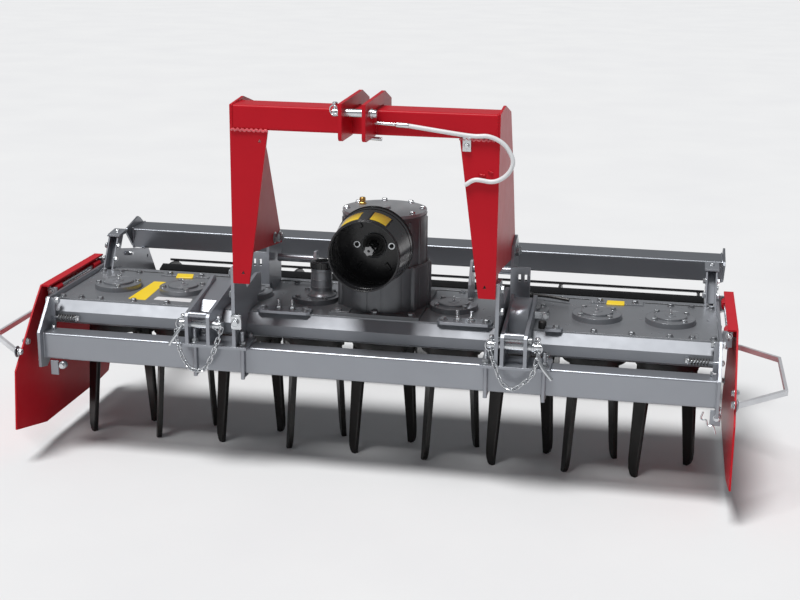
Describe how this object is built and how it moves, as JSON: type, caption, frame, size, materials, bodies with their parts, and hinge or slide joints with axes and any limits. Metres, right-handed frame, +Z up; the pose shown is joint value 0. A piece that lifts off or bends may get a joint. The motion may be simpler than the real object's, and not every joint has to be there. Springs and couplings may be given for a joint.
{
  "type": "power harrow",
  "caption": "Tractor-mounted power harrow: gear trough with a row of twin-tine rotors, red headstock, gearbox with drive input, swinging side plates and rear cage roller",
  "frame": {"origin": "on the ground under the middle of the machine's bounding box", "axes": "+X to the machine's right seen from the tractor looking back along +Y, +Y rearwards (tractor side to roller), +Z up"},
  "size_m": [2.772, 1.582, 1.329],
  "materials": {
    "red_paint": "gloss paint, dusty edges",
    "silver_paint": "metallic silver-grey paint",
    "trough_paint": "dark grey semi-gloss paint",
    "gearbox_paint": "dark grey paint over casting",
    "black_paint": "black paint",
    "rotor_iron": "black painted casting",
    "tine_steel": "black-brown coated forged steel",
    "zinc_steel": "bright zinc plated steel",
    "shaft_steel": "machined steel",
    "black_plastic": "black moulded plastic",
    "hook_sleeve": "pale plastic sleeve over rod"
  },
  "bodies": {
    "frame": {"gear_trough": "trough_paint", "trough_cover": "trough_paint", "bearing_caps": "trough_paint", "trough_filler": "trough_paint", "filler_cap": "black_plastic", "front_bar": "silver_paint", "end_plate_left": "silver_paint", "end_plate_right": "silver_paint", "gearbox_housing": "gearbox_paint", "gearbox_lid": "gearbox_paint", "pto_shield": "black_plastic", "mast_left": "red_paint", "mast_right": "red_paint", "mast_supports": "silver_paint", "mast_crossbar": "red_paint", "top_link_plates": "red_paint", "top_link_pin": "zinc_steel", "hitch_plates": "silver_paint", "hitch_stays": "silver_paint", "hitch_bases": "silver_paint", "hitch_bolts": "silver_paint", "lower_link_pins": "zinc_steel", "roller_towers": "silver_paint", "pivot_ears": "silver_paint", "pivot_pins": "zinc_steel", "side_hinge_rods": "zinc_steel", "side_hinge_tabs": "silver_paint", "shaft_hook": "hook_sleeve"},
    "rotor_1": {"rotor_1_hub": "rotor_iron", "rotor_1_tines": "tine_steel"},
    "rotor_2": {"rotor_2_hub": "rotor_iron", "rotor_2_tines": "tine_steel"},
    "rotor_3": {"rotor_3_hub": "rotor_iron", "rotor_3_tines": "tine_steel"},
    "rotor_4": {"rotor_4_hub": "rotor_iron", "rotor_4_tines": "tine_steel"},
    "rotor_5": {"rotor_5_hub": "rotor_iron", "rotor_5_tines": "tine_steel"},
    "rotor_6": {"rotor_6_hub": "rotor_iron", "rotor_6_tines": "tine_steel"},
    "rotor_7": {"rotor_7_hub": "rotor_iron", "rotor_7_tines": "tine_steel"},
    "rotor_8": {"rotor_8_hub": "rotor_iron", "rotor_8_tines": "tine_steel"},
    "rotor_9": {"rotor_9_hub": "rotor_iron", "rotor_9_tines": "tine_steel"},
    "pto": {"pto_shaft": "shaft_steel"},
    "roller_frame": {"roller_arm_left": "silver_paint", "roller_arm_right": "silver_paint", "roller_bearings": "black_paint", "roller_beam": "silver_paint", "beam_ends": "silver_paint"},
    "roller": {"roller_axle": "black_paint", "roller_discs": "black_paint", "roller_bars": "black_paint"},
    "side_left": {"side_plate_left": "red_paint", "guard_rail_left": "silver_paint"},
    "side_right": {"side_plate_right": "red_paint", "guard_rail_right": "silver_paint"}
  },
  "joints": [
    {"name": "rotor_1_turn", "type": "hinge", "parent": "frame", "child": "rotor_1", "pos_m": [-1, -0.28, 0.44], "axis": [0, 0, 1], "continuous": true},
    {"name": "rotor_2_turn", "type": "hinge", "parent": "frame", "child": "rotor_2", "pos_m": [-0.75, -0.28, 0.44], "axis": [0, 0, 1], "continuous": true},
    {"name": "rotor_3_turn", "type": "hinge", "parent": "frame", "child": "rotor_3", "pos_m": [-0.5, -0.28, 0.44], "axis": [0, 0, 1], "continuous": true},
    {"name": "rotor_4_turn", "type": "hinge", "parent": "frame", "child": "rotor_4", "pos_m": [-0.25, -0.28, 0.44], "axis": [0, 0, 1], "continuous": true},
    {"name": "rotor_5_turn", "type": "hinge", "parent": "frame", "child": "rotor_5", "pos_m": [0, -0.28, 0.44], "axis": [0, 0, 1], "continuous": true},
    {"name": "rotor_6_turn", "type": "hinge", "parent": "frame", "child": "rotor_6", "pos_m": [0.25, -0.28, 0.44], "axis": [0, 0, 1], "continuous": true},
    {"name": "rotor_7_turn", "type": "hinge", "parent": "frame", "child": "rotor_7", "pos_m": [0.5, -0.28, 0.44], "axis": [0, 0, 1], "continuous": true},
    {"name": "rotor_8_turn", "type": "hinge", "parent": "frame", "child": "rotor_8", "pos_m": [0.75, -0.28, 0.44], "axis": [0, 0, 1], "continuous": true},
    {"name": "rotor_9_turn", "type": "hinge", "parent": "frame", "child": "rotor_9", "pos_m": [1, -0.28, 0.44], "axis": [0, 0, 1], "continuous": true},
    {"name": "pto_turn", "type": "hinge", "parent": "frame", "child": "pto", "pos_m": [0, -0.48, 0.8], "axis": [0, 1, 0], "continuous": true},
    {"name": "roller_frame_tilt", "type": "hinge", "parent": "frame", "child": "roller_frame", "pos_m": [0, 0.055, 0.5], "axis": [1, 0, 0], "range_deg": [-16, 0]},
    {"name": "roller_turn", "type": "hinge", "parent": "roller_frame", "child": "roller", "pos_m": [0, 0.57, 0.21349], "axis": [1, 0, 0], "continuous": true},
    {"name": "side_left_swing", "type": "hinge", "parent": "frame", "child": "side_left", "pos_m": [-1.19, -0.28, 0.56], "axis": [0, 1, 0], "range_deg": [0, 20], "stiffness_Nm_per_rad": 20},
    {"name": "side_right_swing", "type": "hinge", "parent": "frame", "child": "side_right", "pos_m": [1.19, -0.28, 0.56], "axis": [0, -1, 0], "range_deg": [0, 20], "stiffness_Nm_per_rad": 20}
  ],
  "couplings": [
    {"joint": "rotor_1_turn", "follows": "rotor_5_turn", "ratio": 1},
    {"joint": "rotor_2_turn", "follows": "rotor_5_turn", "ratio": -1},
    {"joint": "rotor_3_turn", "follows": "rotor_5_turn", "ratio": 1},
    {"joint": "rotor_4_turn", "follows": "rotor_5_turn", "ratio": -1},
    {"joint": "rotor_6_turn", "follows": "rotor_5_turn", "ratio": -1},
    {"joint": "rotor_7_turn", "follows": "rotor_5_turn", "ratio": 1},
    {"joint": "rotor_8_turn", "follows": "rotor_5_turn", "ratio": -1},
    {"joint": "rotor_9_turn", "follows": "rotor_5_turn", "ratio": 1},
    {"joint": "pto_turn", "follows": "rotor_5_turn", "ratio": 2}
  ]
}
